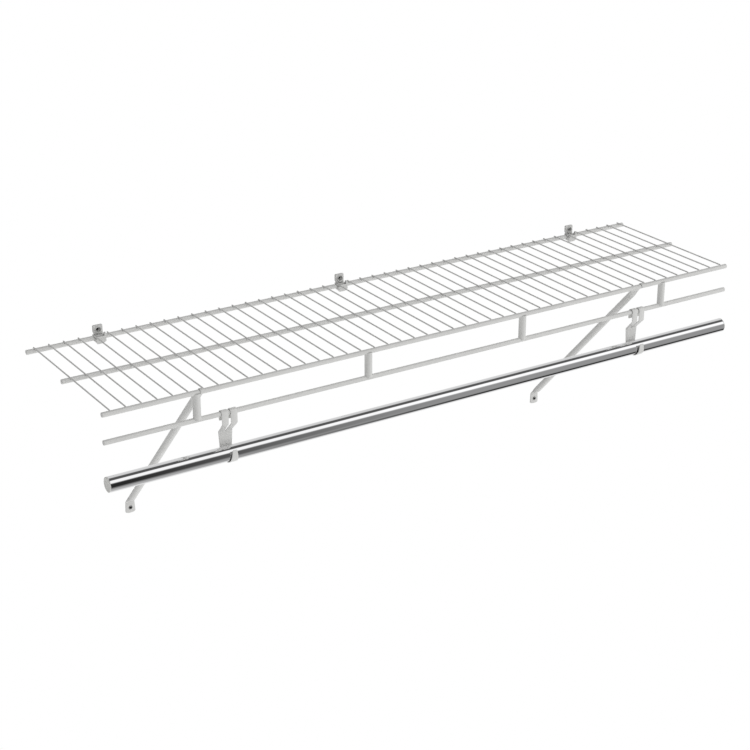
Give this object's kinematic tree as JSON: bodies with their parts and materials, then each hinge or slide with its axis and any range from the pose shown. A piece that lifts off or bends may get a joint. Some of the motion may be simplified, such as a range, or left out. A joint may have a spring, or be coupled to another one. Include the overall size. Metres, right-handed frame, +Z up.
{
  "type": "wire closet shelf with hanging rod",
  "caption": "White wire closet shelf with a turned-down front, slanted wall braces, moulded wall clips and a chromed hanging rod in bent sheet hangers.",
  "frame": {"origin": "on the wall plane, behind the middle wall clip, level with the back rod's centre", "axes": "+X along the shelf to the right as seen from the room, +Y into the wall, +Z up"},
  "size_m": [1.2192, 0.3126, 0.3506],
  "materials": {
    "white_coated_steel": "smooth satin white coating",
    "white_moulded_plastic": "satin",
    "dark_screw_steel": "black",
    "chromed_steel": "bright",
    "grey_cap_plastic": "satin"
  },
  "bodies": {
    "wall_fixings": {"wall_clip_left": "white_moulded_plastic", "wall_clip_middle": "white_moulded_plastic", "wall_clip_right": "white_moulded_plastic", "clip_screw_left": "dark_screw_steel", "clip_screw_middle": "dark_screw_steel", "clip_screw_right": "dark_screw_steel"},
    "shelf_frame": {"deck_grid": "white_coated_steel", "front_rod": "white_coated_steel", "lip_rod": "white_coated_steel", "post_1": "white_coated_steel", "post_2": "white_coated_steel", "post_3": "white_coated_steel", "post_4": "white_coated_steel"},
    "left_brace": {"brace_left": "white_coated_steel", "brace_screw_left": "dark_screw_steel"},
    "right_brace": {"brace_right": "white_coated_steel", "brace_screw_right": "dark_screw_steel"},
    "left_hanger": {"hanger_left": "white_coated_steel"},
    "right_hanger": {"hanger_right": "white_coated_steel"},
    "hanging_rod": {"closet_rod": "chromed_steel", "rod_cap_left": "grey_cap_plastic", "rod_cap_right": "grey_cap_plastic"}
  },
  "joints": [
    {"name": "shelf_lift", "type": "hinge", "parent": "wall_fixings", "child": "shelf_frame", "pos_m": [0, -0.00656, 0], "axis": [-1, 0, 0], "range_deg": [0, 20]},
    {"name": "brace_left_swing", "type": "hinge", "parent": "shelf_frame", "child": "left_brace", "pos_m": [-0.4201, -0.2929, 0], "axis": [-1, 0, 0], "range_deg": [0, 8]},
    {"name": "brace_right_swing", "type": "hinge", "parent": "shelf_frame", "child": "right_brace", "pos_m": [0.44, -0.2929, 0], "axis": [-1, 0, 0], "range_deg": [0, 8]},
    {"name": "hanger_left_swing", "type": "hinge", "parent": "shelf_frame", "child": "left_hanger", "pos_m": [-0.3763, -0.2929, -0.04458], "axis": [-1, 0, 0], "range_deg": [-25, 25]},
    {"name": "hanger_right_swing", "type": "hinge", "parent": "shelf_frame", "child": "right_hanger", "pos_m": [0.43175, -0.2929, -0.04458], "axis": [-1, 0, 0], "range_deg": [-25, 25]},
    {"name": "closet_rod_slide", "type": "slide", "parent": "left_hanger", "child": "hanging_rod", "axis": [1, 0, 0], "range_m": [-0.15, 0.15]}
  ],
  "couplings": [
    {"joint": "hanger_right_swing", "follows": "hanger_left_swing", "ratio": 1}
  ]
}
